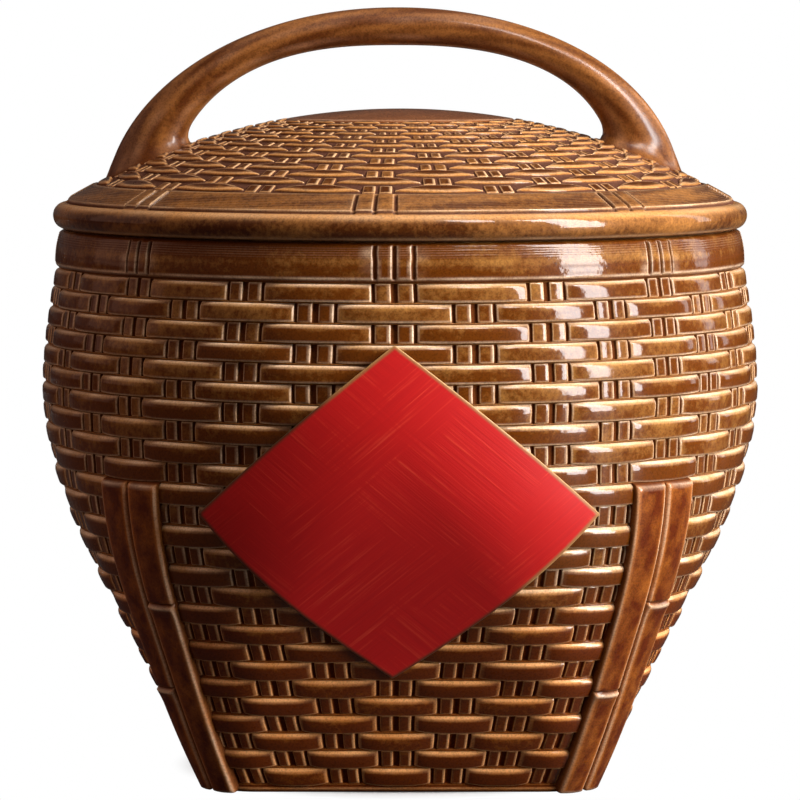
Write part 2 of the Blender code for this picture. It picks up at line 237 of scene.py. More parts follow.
def addNode(tree, kind, settings=None, links=None):
    # adds one node, sets its properties and inputs, and links what feeds it
    # a map range's inputs 1 to 4 are from low, from high, to low and to high
    # a colour mix goes from input 6 to input 7 by input 0
    node = tree.nodes.new("ShaderNode" + kind)
    for key, value in (settings or {}).items():
        if isinstance(key, str) and hasattr(node, key):
            setattr(node, key, value)
        else:
            node.inputs[key].default_value = value
    for key, source in (links or {}).items():
        tree.links.new(source, node.inputs[key])
    return node


glazeLook = {
    "groove": "#5e3014",
    "thick": "#602f06",
    "thin": "#be8846",
    "edge": "#fad8b4",
    "edgeShare": 0.95,
    "toneShare": 0.3,
    "uneven": 0.24,
    "coat": 0.7,
    "coatRoughness": 0.07,
    "roughness": 0.3,
    "footTint": "#ffdaae",  # redder near the foot, below tintTop
    "tintTop": 0.105,
    "tintFull": 0.06,
    "runScale": 60,  # runs and pools about 16 mm apart
    "mottleScale": 420,  # mottle about 2.4 mm apart, drawn a little coarse so that it shows
    "speckScale": 1300,  # iron specks under 1 mm apart
    "specks": 0.75,
    "skinScale": 240,  # the fired skin's waves, about 4 mm apart
    "skinHeight": 0.0006,
}


def glazedStoneware(name, **changes):
    # amber iron glaze over stoneware, fired glossy: dark where thick, golden where thin, cream on an edge
    look = {**glazeLook, **changes}
    material, tree, shader = newMaterial(name)
    add = partial(addNode, tree)
    place = add("TexCoord").outputs["Object"]
    marks = add("Attribute", {"attribute_name": "relief"})
    parts = add("SeparateColor", links={0: marks.outputs["Color"]})
    noises = []
    for key, detail, rough in (("runScale", 3, 0.55), ("mottleScale", 3, 0.6), ("speckScale", 1, 0.5),
                               ("skinScale", 3, 0.5)):
        noise = add("TexNoise", {"Scale": look[key], "Detail": detail, "Roughness": rough}, {"Vector": place})
        noises.append(noise.outputs["Fac"])
    runs, mottle, specks, skin = noises

    # how thick the glaze lies: the mark, moved up and down by runs and mottle
    uneven = add("Math", {"operation": "ADD"}, {0: runs, 1: mottle})
    spread = add("MapRange", {1: 0.7, 2: 1.3, 3: -look["uneven"], 4: look["uneven"]}, {0: uneven.outputs[0]})
    toned = add("Math", {"operation": "MULTIPLY_ADD", 1: look["toneShare"]},
                {0: parts.outputs["Blue"], 2: spread.outputs[0]})
    depth = add("Math", {"operation": "ADD", "use_clamp": True},
                {0: marks.outputs["Alpha"], 1: toned.outputs[0]})
    body = add("Mix", {**colourMix, 6: linear(look["thin"]), 7: linear(look["thick"])}, {0: depth.outputs[0]})

    # the cream line, broken up along its length; on edges facing the lamps it is partly a painted highlight
    broken = add("MapRange", {1: 0.32, 2: 0.62, 3: 0.35 * look["edgeShare"], 4: look["edgeShare"]}, {0: runs})
    pale = add("Math", {"operation": "MULTIPLY"}, {0: parts.outputs["Red"], 1: broken.outputs[0]})
    edged = add("Mix", {**colourMix, 7: linear(look["edge"])}, {0: pale.outputs[0], 6: body.outputs[2]})
    pooled = add("Mix", {**colourMix, 7: linear(look["groove"])},
                 {0: parts.outputs["Green"], 6: edged.outputs[2]})
    grain = add("MapRange", {1: 0.35, 2: 0.55, 3: 0.68, 4: 1.06}, {0: specks})
    speckled = add("Mix", {**tintMix, 0: look["specks"]}, {6: pooled.outputs[2], 7: grain.outputs[0]})
    height = add("SeparateXYZ", links={0: place}).outputs["Z"]
    nearFoot = add("MapRange", {1: look["tintTop"], 2: look["tintFull"], "interpolation_type": "SMOOTHSTEP"},
                   {0: height})
    tinted = add("Mix", {**tintMix, 7: linear(look["footTint"])},
                 {0: nearFoot.outputs[0], 6: speckled.outputs[2]})

    # the gloss varies a little with the mottle, and grooves are left dull
    gloss = add("MapRange", {1: 0.3, 2: 0.7, 3: look["roughness"] - 0.05, 4: look["roughness"] + 0.09},
                {0: mottle})
    dull = add("Math", {"operation": "MAXIMUM"}, {0: gloss.outputs[0], 1: parts.outputs["Green"]})
    shine = add("MapRange", {3: look["coat"], 4: 0}, {0: parts.outputs["Green"]})
    wavy = add("Bump", {"Strength": 0.15, "Distance": look["skinHeight"]}, {"Height": skin})
    tree.links.new(tinted.outputs[2], shader.inputs["Base Color"])
    tree.links.new(dull.outputs[0], shader.inputs["Roughness"])
    tree.links.new(shine.outputs[0], shader.inputs["Coat Weight"])
    tree.links.new(wavy.outputs[0], shader.inputs["Normal"])
    tree.links.new(wavy.outputs[0], shader.inputs["Coat Normal"])
    shader.inputs["IOR"].default_value = 1.5
    shader.inputs["Specular IOR Level"].default_value = 0.05
    shader.inputs["Coat Roughness"].default_value = look["coatRoughness"]
    return material


bodyGlaze = glazedStoneware("bodyAmberGlaze")
# the lid's grooves are a purple-grey brown: pooled glaze, greyed by a painted reflection of the pale room
lidGlaze = glazedStoneware("lidAmberGlaze", thick="#4f260a", thin="#c68644", groove="#5a392b", edge="#f4c898")
discGlaze = glazedStoneware("discAmberGlaze", thick="#6c3a1e", thin="#a46638", uneven=0.2)
handleGlaze = glazedStoneware("handleAmberGlaze", thick="#54290c", thin="#a86c34", uneven=0.2, runScale=40,
                              edge="#dba67e", coatRoughness=0.24)
postGlaze = glazedStoneware("postAmberGlaze", thick="#5a2206", thin="#b86c28", uneven=0.15,
                            footTint="#ffffff")


def barePottery(name, hexColour):
    # bare fired stoneware, dry and slightly gritty, where glaze is wiped off before firing
    material, tree, shader = newMaterial(name)
    add = partial(addNode, tree)
    place = add("TexCoord").outputs["Object"]
    # grit about 1.4 mm apart
    grit = add("TexNoise", {"Scale": 700, "Detail": 4}, {"Vector": place}).outputs["Fac"]
    tint = add("MapRange", {3: 0.75, 4: 1.15}, {0: grit})
    mixed = add("Mix", {**tintMix, 0: 1.0, 6: linear(hexColour)}, {7: tint.outputs[0]})
    tree.links.new(mixed.outputs[2], shader.inputs["Base Color"])
    shader.inputs["Roughness"].default_value = 0.85
    rough = add("Bump", {"Strength": 0.4, "Distance": 0.0004}, {"Height": grit})
    tree.links.new(rough.outputs[0], shader.inputs["Normal"])
    return material


bareClay = barePottery("bareStoneware", "#b38d66")


# The weave. On every row pairs of slats and long wefts alternate, and the next row has them the other
# way round.

weaveKeys = {
    # a column's place beside its stave: 0 the middle, 1 and 2 a slat's edges, 3 a weft's end, 4 halfway on
    "columns": (0.9, 1, 1.05, 1.13, 1.3, 1.7, 1.87, 1.95, 2, 2.1, 2.9, 3, 3.06, 3.16, 3.45),
    # a ring's place over the middle of its row: 1 is the edge of the form, 2 the edge of the row
    "rings": (2, 1.4, 1, 0.94, 0.84, 0.7, 0.45, 0, -0.72, -0.84, -0.94, -1, -1.4),
    "lidRings": (2, 1.4, 1, 0.95, 0.87, 0.74, 0.4, 0, -0.3, -0.5, -0.7, -0.84, -0.94, -1, -1.4),
}
weave = {
    "top": wall["rimHeight"] - 0.0155,
    "bottom": 0.0028,
    "rowGroups": ((6, 1.0), (7, 1.074), (4, 1.01), (9, 0.98)),  # from the top: how many, and how high
    "pieces": {"top": range(0, 7), "upper": range(7, 14), "lower": range(14, 20), "foot": range(20, 26)},
    "staves": 32,
    "turn": math.radians(-0.9),  # of the whole weave, from the middle of the front
    "crowding": math.radians(1.06),  # staves crowd together towards the corners
    "spread": math.radians(1.98),  # they stand wider apart at the front than at the back
    "drift": math.radians(1.4),  # and at the sides they are turned this much further
    "slatGap": 0.0022,  # between the two slats of a pair
    "sideGap": 0.0011,  # between a slat and the end of a weft
    "shoulderLighten": 0.2,  # the wall is lighter towards the shoulder, where the thick glaze mark fades out
    "pairAtFoot": 0.0107,
    "pairAtBelly": 0.0143,
    "depth": 0.0010,  # from a weft's edge down to the bottom of a groove
    "bulge": 0.0015,  # how far a weft bows out over its length
    "endRound": 0.5,  # how much of that bow lies near its ends
    "crown": 0.0003,
    "highest": 0.0004,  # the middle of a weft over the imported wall
    "slatRise": 0.0012,
    "slatCrown": 0.0002,
    "rowRise": 0.0012,  # from the bottom of a groove between slats up to that between rows
    "rowGroove": 0.7,  # how dark it is there
    "weftTop": 0.00015,  # from a weft's upper edge to the edge of its row, and from its lower edge
    "weftFoot": 0.00015,
    "topSag": 0.0002,  # how far the upper edge sags in the middle
    "topLens": 0,  # how far it drops, and how far the lower edge rises, towards the ends
    "lens": 0.0008,
    "lensPower": 3,
    "footLens": 0.6,  # how much of lens and slatFoot is gone at the belly
    "slatTop": 0.0002,
    "slatFoot": 0.0007,
    "topRounding": 0.0022,
    "footRounding": 0.0007,
    "sideRounding": 0.0005,
    # cream lines: how far inside the edge, how wide, and how cream; the top line is partly a painted
    # highlight from above
    "topCreamAndHighlight": (0.0005, 0.0006, 1.0),
    "footLine": (0.0003, 0.0003, 0.9),
    "endLine": (0.0003, 0.00035),
    # a slat's right edge gets the stronger line: a painted highlight from the lamps on the right
    "slatLitLine": (0.0004, 0.0004),
    "slatFarLine": (0.00028, 0.00022, 0.6),
    "slatEndLine": (0.00028, 0.00025),
    "coreTop": 0.0030,  # the glaze is thick from here down, and down to coreFoot; above it the weft is painted golden, partly a painted highlight from above
    "coreFoot": 0.0006,
    "slatCore": 0.95,
    "swayAcross": 0.00016,  # how far the hand-cut lines wander
    "swayUp": 0.00014,
}


def weaveColumns():
    side = weaveKeys["columns"]
    keys = [-4] + [-key for key in reversed(side)] + [0] + list(side)
    half = weave["staves"] // 2
    places = [(stave, key) for stave in range(-half, half) for key in keys] + [(half, -4)]
    return np.array(places, dtype=float)


def weaveRings(rows, keys):
    return np.array([(row, key) for row in rows for key in keys] + [(rows[-1], -2)], dtype=float)


def grooveBottom(look):
    return look["highest"] - look["bulge"] - look["depth"] - look["crown"]


def betweenRows(look):
    # how high it is between two rows of a weave, where its neighbours meet it
    return grooveBottom(look) + look["rowRise"]


def weaveForm(column, ring, step, rowLength, pairWidth, look, tones):
    # where a point of the grid goes beside its stave and row, its height over the form, and its glaze
    stave, key = column[:, 0], column[:, 1]
    row, level = ring[:, 0], ring[:, 1]
    gap, pair = look["slatGap"] / 2, pairWidth / 2
    side = pair + look["sideGap"]
    reach = np.abs(key)
    away = np.where(reach < 1, reach * gap, gap + (reach - 1) * (pair - gap))
    away = np.where(reach > 2, pair + (reach - 2) * look["sideGap"], away)
    away = np.where(reach > 3, side + (reach - 3) * (step / 2 - side), away)
    hasPair = np.mod(stave + row, 2) < 0.5
    fromPair = np.where(hasPair, away, step - away)
    isSlat = fromPair < pair + look["sideGap"] / 2
    fromMiddle = np.clip((step - fromPair) / (step - side), 0, 1)

    halfRow = rowLength / 2
    drop = fromMiddle ** look["lensPower"]
    weftTop = look["weftTop"] + look["topSag"] * (1 - fromMiddle**2) + look["topLens"] * drop
    edgeUp = halfRow - np.where(isSlat, look["slatTop"], weftTop)
    edgeDown = halfRow - np.where(isSlat, look["slatFoot"], look["weftFoot"] + look["lens"] * drop)
    edge = np.where(level > 0, edgeUp, edgeDown)
    height = np.abs(level)
    up = np.where(height <= 1, height * edge, edge + (height - 1) * (halfRow - edge)) * np.sign(level)

    slatSide = np.minimum(fromPair - gap, pair - fromPair)
    fromEnd = fromPair - side
    sideways = np.where(isSlat, slatSide, fromEnd)
    fromTop, fromFoot = edgeUp - up, edgeDown + up
    endways = np.minimum(fromTop, fromFoot)
    bow = 1 - (1 - look["endRound"]) * fromMiddle**2 - look["endRound"] * fromMiddle**6
    weftRise = look["depth"] + look["bulge"] * bow + look["crown"] * (1 - (up / halfRow) ** 2)
    slatHalf = (pair - gap) / 2
    slatCrown = look["slatCrown"] * (1 - np.clip((fromPair - gap - slatHalf) / slatHalf, -1, 1) ** 2)
    form = np.where(isSlat, look["slatRise"] - look["slatCrown"] * 0.6 + slatCrown, weftRise)
    topRounding = np.where(isSlat, look["sideRounding"], look["topRounding"])
    for inside, rounding in ((sideways, look["sideRounding"]), (fromFoot, look["footRounding"]),
                             (fromTop, topRounding)):
        form = form - rounding * (1 - roundedStep(inside, rounding))
    isForm = np.minimum(sideways, endways) > -0.00001
    rise = np.where(isForm, np.maximum(form, 0.0002), np.where(height > 1, look["rowRise"], 0))
    raised = grooveBottom(look) + rise

    # glaze: cream on the crests, thick in the middle and the lower half of each form, dark in the grooves; a
    # weft's cream top edge and golden upper band are partly a painted highlight from above
    rightward = np.sign(key) * np.where(hasPair, 1, -1)
    # the slat edge facing right, towards the lamps, gets a stronger cream line: a painted highlight
    slatLitSide = rightward * np.sign(fromPair - (gap + pair) / 2) > 0
    slatEdge = np.where(slatLitSide, bump(slatSide, *look["slatLitLine"]), bump(slatSide, *look["slatFarLine"]))
    slatEnd = bump(endways, *look["slatEndLine"]) * np.where(up > 0, 0.75, 0.5)
    slatEdge = np.maximum(slatEdge, slatEnd) * (slatSide > 0)
    # the cream top line is partly a painted highlight from above
    weftEdge = np.maximum(bump(fromFoot, *look["footLine"]), bump(fromTop, *look["topCreamAndHighlight"]))
    # a weft's right end gets a stronger cream line than its left: a painted highlight from the lamps on the
    # right
    weftEdge = np.maximum(weftEdge, bump(fromEnd, *look["endLine"]) * np.where(rightward < 0, 0.95, 0.7))
    cream = np.where(isSlat, slatEdge, weftEdge) * isForm
    thickSlat = fade(np.minimum(slatSide, endways), 0.0002, 0.0006) * look["slatCore"]
    # golden towards the top edge and thick below: partly a painted highlight from above
    thickWeft = fade(fromTop, 0.0003, look["coreTop"] * (1 - 0.6 * fromMiddle**2))
    thickWeft = thickWeft * fade(fromFoot, look["coreFoot"] - 0.0005, look["coreFoot"])
    thickWeft = thickWeft * (0.4 + 0.6 * fade(fromEnd, 0.0003, 0.0016))
    thick = np.where(isSlat, thickSlat, thickWeft)
    groove = 1 - fade(np.minimum(sideways, endways), -0.00002, 0.00018)
    groove = groove * np.where(height > 1, look["rowGroove"], 1)

    # each slat and weft has its own tone
    element = np.where(isSlat == hasPair, stave, stave + np.sign(key))
    tone = tones[np.mod(row, tones.shape[0]).astype(int), np.mod(element, tones.shape[1]).astype(int)]
    return away * np.sign(key), up, raised, glazeMarks(cream, groove, tone, thick)


def staveTurn(stave):
    turn = stave * 2 * math.pi / weave["staves"]
    uneven = weave["crowding"] * np.sin(4 * turn) + weave["spread"] * np.sin(turn)
    return front + weave["turn"] + turn + uneven + weave["drift"] * np.sin(turn) ** 2


def makeBodyWeave():
    shares = np.concatenate([[share] * count for count, share in weave["rowGroups"]])
    pitches = (weave["top"] - weave["bottom"]) * shares / shares.sum()
    middles = weave["top"] - np.cumsum(pitches) + pitches / 2
    tones = np.random.default_rng(26).random((len(shares), weave["staves"]))
    foot, belly = halfSide(np.array(0.0)), halfSide(wall["bellyHeight"])

    def place(column, ring):
        row = ring[:, 0].astype(int)
        pitch, middle = pitches[row], middles[row]
        z = middle + pitch * ring[:, 1] / 4
        length = halfSide(z)
        share = (length - foot) / (belly - foot)
        step = length / (weave["staves"] / 8)
        rowLength = pitch * np.sqrt(1 + wallSlope(z) ** 2)
        pairWidth = weave["pairAtFoot"] + (weave["pairAtBelly"] - weave["pairAtFoot"]) * share
        left = 1 - weave["footLens"] * share
        look = {**weave, "lens": weave["lens"] * left, "slatFoot": weave["slatFoot"] * left}
        beside, up, raised, marks = weaveForm(column, ring, step, rowLength, pairWidth, look, tones)
        z = middle + pitch * up / rowLength
        beside = beside + weave["swayAcross"] * sway(column[:, 0] * 2.1, z * 160, 0.7)
        z = z + weave["swayUp"] * sway(column[:, 0] * 1.4, z * 370, 3.1)
        turn = staveTurn(column[:, 0] + beside / step)
        marks[:, 3] *= 1 - weave["shoulderLighten"] * fade(z, 0.08, 0.20)
        return onWall(turn, z, raised), marks

    for label, rows in weave["pieces"].items():
        wrapGrid(f"woven_wall_{label}", weaveColumns(), weaveRings(rows, weaveKeys["rings"]), place,
                 "jar", "body_glaze", bodyGlaze, *(["jar_body"] if label == "top" else []))
    print("woven wall made")


# Plain bands, crossed by ties: two slats side by side between three upright grooves

tie = {
    "staves": 4,  # from one tie to the next
    "collarApart": 0.0068,  # between its grooves
    "lidApart": 0.0083,
    "groove": 0.0007,
    "depth": 0.0009,
    "slatRise": 0.0005,
    "slatInset": 0.0006,
    "slatRounding": 0.0012,
    "lineAt": 0.0011,  # cream lines run beside each groove, weaker on its right, so a slat's right edge is creamer than its left: partly a painted highlight from the lamps on the right
    "lineWidth": 0.0003,
    "shadedSideShare": 0.6,
    "near": (-1.5, -1.2, -0.9, -0.6, -0.3, 0, 0.3, 0.6, 0.9, 1.2, 1.5),  # columns beside a groove, in mm
    "away": (0.013, 0.018, 0.026, 0.036, 0.046),  # columns on the plain band
}


def tieColumns(step, apart):
    # columns beside each tie, close together at its grooves, in staves
    fine = [value / 1000 for value in tie["near"]]
    near = [value for value in fine if value >= 0] + [apart * 0.36, apart * 0.6]
    half = [value / step for value in near + [apart + value for value in fine] + list(tie["away"])]
    both = [-value for value in reversed(half[1:])] + half
    ties = weave["staves"] // tie["staves"]
    places = [at * tie["staves"] + value for at in range(-ties // 2, ties // 2) for value in both]
    return np.array(places + [places[0] + weave["staves"]])


def tieMarks(stave, step, apart):
    # groove, raised slat and cream line at a place across a tie
    beside = (stave - np.round(stave / tie["staves"]) * tie["staves"]) * step
    away = np.abs(beside)
    cut = 1 - fade(np.minimum(away, np.abs(away - apart)), tie["groove"] * 0.5, tie["groove"] * 1.4)
    # the line on a slat's right edge is full and that on its left edge weaker: partly a painted highlight
    # from the lamps on the right
    left, right = (sum(bump(beside, at + way * tie["lineAt"], tie["lineWidth"]) for at in (-apart, 0, apart))
                   for way in (-1, 1))
    slat = roundedStep(np.minimum(away, apart - away) - tie["slatInset"], tie["slatRounding"])
    return cut, slat * (away < apart), right * tie["shadedSideShare"] + left


collar = {
    # levels run from 0 at the weave up to 1 at the rim, and are closest where the fine lines are
    "upperLevels": (1, 0.985, 0.965, 0.94),
    "lineLevels": (0.5, 0.915, 0.0186),
    "lowerLevels": (0.42, 0.36, 0.3, 0.23, 0.18, 0.14, 0.11, 0.09, 0.07, 0.05, 0.035, 0.02, 0.01, 0),
    "lines": (0.55, 0.68, 0.84, 0.9),  # where the lines fade in and out, and the ties
    "ties": (0.04, 0.1, 0.88, 0.94),
    "linePitch": 0.00095,
    "lineDepth": 0.00008,
    "bulge": 0.0010,
    "footLine": (0.085, 0.03, 0.7),  # level, width and share: cream over its foot, and a dark ring over that
    "footRing": (0.17, 0.02, 0.35),
    "runLevel": 0.36,  # here the glaze stopped running down, in an uneven dark line
    "runLine": (0.02, 0.45),
    "thin": (0.5, 0.1, 0.2),  # the glaze is thinner halfway up
}


def makeCollar():
    height = wall["rimHeight"] - weave["top"]
    step = wall["neckRadius"] * 2 * math.pi / weave["staves"]
    fine = np.arange(*collar["lineLevels"])
    levels = np.concatenate([collar["upperLevels"], fine[::-1], collar["lowerLevels"]])
    ground = betweenRows(weave)

    def place(stave, level):
        z = weave["top"] + level * height
        rounded = roundedStep(level - 0.005, 0.085)
        swell = np.sin(np.clip(level, 0, 1) * math.pi) ** 0.7 * collar["bulge"]
        lines = np.cos(2 * math.pi * level * height / collar["linePitch"]) * within(level, *collar["lines"])
        cut, slat, line = tieMarks(stave, step, tie["collarApart"] * (1 + 0.03 * sway(level * 5, stave, 2.0)))
        band = within(level, *collar["ties"])
        fine = lines * collar["lineDepth"] + slat * tie["slatRise"] * band
        raised = ground + (swell - ground) * rounded + fine
        raised = raised - cut * tie["depth"] * band - wall["rimRounding"] * fade(level, 0.9, 1) ** 2
        edge = most(line * 0.9 * band, bump(level, *collar["footLine"]), np.clip(lines, 0, 1) * 0.12)
        run = collar["runLevel"] + 0.02 * sway(stave * 9, stave * 4, 1.0)
        groove = most(cut * band, 1 - fade(level, 0.0, 0.05), np.clip(-lines, 0, 1) * 0.4,
                      bump(level, run, *collar["runLine"]), bump(level, *collar["footRing"]))
        thick = 0.85 + 0.2 * sway(stave * 0.5, level * 3, 1.0) - bump(level, *collar["thin"])
        tone = 0.5 + 0.4 * sway(stave * 0.8, level, 5.0)
        return onWall(staveTurn(stave), z, raised), glazeMarks(edge, groove, tone, thick)

    wrapGrid("collar", tieColumns(step, tie["collarApart"]), levels, place, "jar", "body_glaze", bodyGlaze)
    print("collar made")


def plainPlace(turn, ring):
    # follows the jar's outline: profile rows are height, raised, shrink towards the axis, edge and groove
    z, raised, shrink, edge, groove = ring.T
    points = outline(wallHalf(z) + raised, np.maximum(wallCorner(z) + raised, 0.004), front + turn, z)
    points[:, :2] *= shrink[:, None]
    tone, thick = 0.5 + 0.4 * sway(turn * 3, z * 60, 2.0), 0.6 + 0.3 * sway(turn * 2, z * 90, 4.0)
    return points, glazeMarks(edge, groove, tone, thick)


def makeJarPlain():
    turns = np.linspace(0, 2 * math.pi, 145)
    top, thick, rounding = wall["rimHeight"], wall["thickness"], wall["rimRounding"]
    floor, fillet = wall["floor"], wall["floorFillet"]
    inside = [(floor, -thick - fillet, shrink, 0, 0) for shrink in (0, 0.2, 0.45, 0.7, 0.9)]
    for angle in (90, 72, 54, 36, 18, 0):
        bend = math.radians(angle)
        up, back = fillet * (1 - math.sin(bend)), fillet * (1 - math.cos(bend))
        inside.append((floor + up, -thick - back, 1, 0, 0))
    inside += [(z, -thick, 1, 0, 0) for z in np.linspace(floor + fillet, top - rounding, 36)[1:]]
    inside += [(top - rounding * 0.3, rounding * 0.3 - thick, 1, 0.8, 0), (top, rounding - thick, 1, 0.5, 0)]

    # the lid's seat on the rim, wiped bare before firing
    seat = [(top, rounding - thick, 1, 0, 0), (top + 0.00015, -thick / 2, 1, 0, 0), (top, -rounding, 1, 0, 0)]

    # from behind the weave's last row down to the bare foot ring
    ground, edge, weaveFoot = betweenRows(weave), wall["footEdge"], weave["bottom"]
    foot = [
        (weaveFoot + 0.0020, ground - 0.0012, 1, 0, 1),
        (weaveFoot + 0.0004, ground - 0.0004, 1, 0, 1),
        (weaveFoot - 0.0001, ground * 0.6, 1, 0, 0.9),
        (weaveFoot - 0.0003, -0.0008, 1, 0.3, 0.3),
        (weaveFoot - 0.0008, -0.0002, 1, 0.5, 0.3),
        (0.0010, -edge * 0.24, 1, 0.1, 0.5),
        (0.0004, -edge * 0.5, 1, 0, 0.3),
        (0, -edge, 1, 0, 0.6),
    ]
    under = [(0, -edge, shrink, 0, 0) for shrink in (1, 0.97, 0.9, 0.7, 0.45, 0.2, 0)]
    for name, rows, material in (("jar_inside", inside, bodyGlaze), ("rim_seat", seat, bareClay),
                                 ("foot_band", foot, bodyGlaze), ("jar_underside", under, bareClay)):
        wrapGrid(name, turns, np.array(rows), plainPlace, "jar", "body_glaze", material)
    print("inside, rim and foot made")


# Corner posts: two bamboo slats side by side, each with one node

post = {
    "corners": {"front_right": -45, "back_right": 45, "back_left": 135, "front_left": -136.6},
    "top": 0.1304,
    "foot": 0.0012,
    "topWidth": 0.0335,
    "footWidth": 0.0235,
    "raised": 0.0026,
    "groove": 0.0013,
    "grooveDepth": 0.0019,
    "crown": 0.0005,
    "rounding": 0.0011,
    "leftNode": 0.0445,
    "rightNode": 0.0811,
    "lip": 0.0009,
    "lipLength": 0.005,
    "lipGroove": (0.0006, 0.0004),  # how far over the node, and how wide
    "back": -0.0038,  # under the bottom of the weave's grooves
    "halfWidth": 0.013,  # of the post, where the groove's columns stand right
    "grooveColumns": (0, 0.6),
    "slatFrom": 0.05,  # share of the half width where the slat's columns begin
    "slatColumns": (0.004, 0.02, 0.045, 0.09, 0.16, 0.26, 0.38, 0.5),
    "nodeRings": (-3.2, -1.8, -0.9, -0.4, 0, 0.35, 0.7, 1.05, 1.5, 2.2),  # in mm
}


def makePosts():
    # columns: side (1 outer face, 0 back) and place across it; rings: height, and 0 where the end is let in
    start, slat = post["slatFrom"], post["slatColumns"]
    half = [post["groove"] / 2 / post["halfWidth"] * value for value in post["grooveColumns"]]
    half += [start + value * (1 - start) for value in slat]
    half += [start + (1 - value) * (1 - start) for value in reversed(slat[:-1])] + [1]
    across = [-value for value in reversed(half[1:])] + half
    columns = [(1, value) for value in across] + [(0, value) for value in reversed(across)] + [(1, across[0])]
    heights = [post["foot"] + value for value in (0, 0.0006, 0.0015)] + list(np.linspace(0.006, 0.126, 27))
    heights += [post["top"] - value for value in (0, 0.0005, 0.0012, 0.0025)]
    for node in ("leftNode", "rightNode"):
        heights += [post[node] + value / 1000 for value in post["nodeRings"]]
    rings = [(post["top"], 0)] + [(z, 1) for z in sorted(set(heights), reverse=True)] + [(post["foot"], 0)]

    def shape(corner, column, ring):
        outer, across = column.T
        z, full = ring.T
        width = post["footWidth"] + (post["topWidth"] - post["footWidth"]) * z / post["top"]
        step = halfSide(z) / (weave["staves"] / 8)
        beside = across * width / 2
        slatHalf = (width / 2 - post["groove"] / 2) / 2
        fromMiddle = np.abs(beside) - post["groove"] / 2 - slatHalf
        inside = slatHalf - np.abs(fromMiddle)
        node = np.where(across < 0, post["leftNode"], post["rightNode"])
        fromEnd = np.minimum(post["top"] - z, z - post["foot"] + 0.0004)
        form = roundedStep(inside, post["rounding"]) * roundedStep(fromEnd, post["rounding"])
        inGroove = np.abs(beside) < post["groove"] / 2
        outerEdge = (inside < 0.00002) & ~inGroove & (np.abs(across) > 0.5)
        above = z - node
        lipGroove = bump(above, *post["lipGroove"])
        lip = post["lip"] * np.where(above <= 0, np.clip(1 + above / post["lipLength"], 0, 1), 0)
        lip = lip * roundedStep(-above, 0.0006) - post["lip"] * lipGroove
        raised = post["raised"] - post["grooveDepth"] + form * (
            post["grooveDepth"] + post["crown"] * (1 - (fromMiddle / slatHalf) ** 2) + lip)
        raised = np.where(outerEdge, raised - 0.0014, raised)
        raised = np.where((outer > 0) & (full > 0), raised, post["back"])
        # a slat's right edge gets a stronger cream line than its left: a painted highlight from the lamps on
        # the right
        edge = bump(inside, 0.0006, 0.00045) * np.where(fromMiddle * np.sign(across) > 0, 0.85, 0.55)
        edge = most(edge, bump(above, -0.0007, 0.0006, 0.9) * (inside > 0.0003),
                    bump(fromEnd, 0.0007, 0.0005, 0.6) * (inside > 0.0003)) * form
        groove = np.maximum(1 - fade(form, 0.05, 0.7), lipGroove)
        thick = fade(inside, 0.0004, 0.0030) * (0.75 + 0.25 * sway(across * 4, z * 300, 1.5))
        tone = 0.4 + 0.4 * sway(np.sign(across) * 3, z * 90, 2.5)
        turn = beside / step * 2 * math.pi / weave["staves"]
        return onWall(corner + turn, z, raised), glazeMarks(edge, groove, tone, thick)

    columns, rings = np.array(columns, dtype=float), np.array(rings, dtype=float)
    for corner, turn in post["corners"].items():
        wrapGrid(f"bamboo_post_{corner}", columns, rings, partial(shape, math.radians(turn)),
                 "jar", "post_glaze", postGlaze, f"corner_post_{corner}")
    print("corner posts made")


# Red diamond on the front, its face left bare

panel = {
    "halfWidth": 0.0797,
    "halfHeight": 0.0686,
    "middle": 0.1195,
    "sideShift": -0.0004,
    "topShift": -0.0021,  # its upper and lower corners stand a little left of the middle
    "footShift": -0.0030,
    "topBow": 0.13,  # how far its sides bow out, above and below its middle
    "footBow": 0.27,
    "face": 0.0022,
    "thickness": 0.0030,
    "bevel": 0.0005,
    "slant": 0.65,  # how far a side is, square to it, for each unit sideways
    "steps": 64,
    "strokeLeans": (40.5, -40.5),  # degrees: brush strokes run along both pairs of sides
    "strokeScale": (22, 22, 1150),  # strokes about 45 mm long and 1 mm apart
    "patchScale": 22,
}


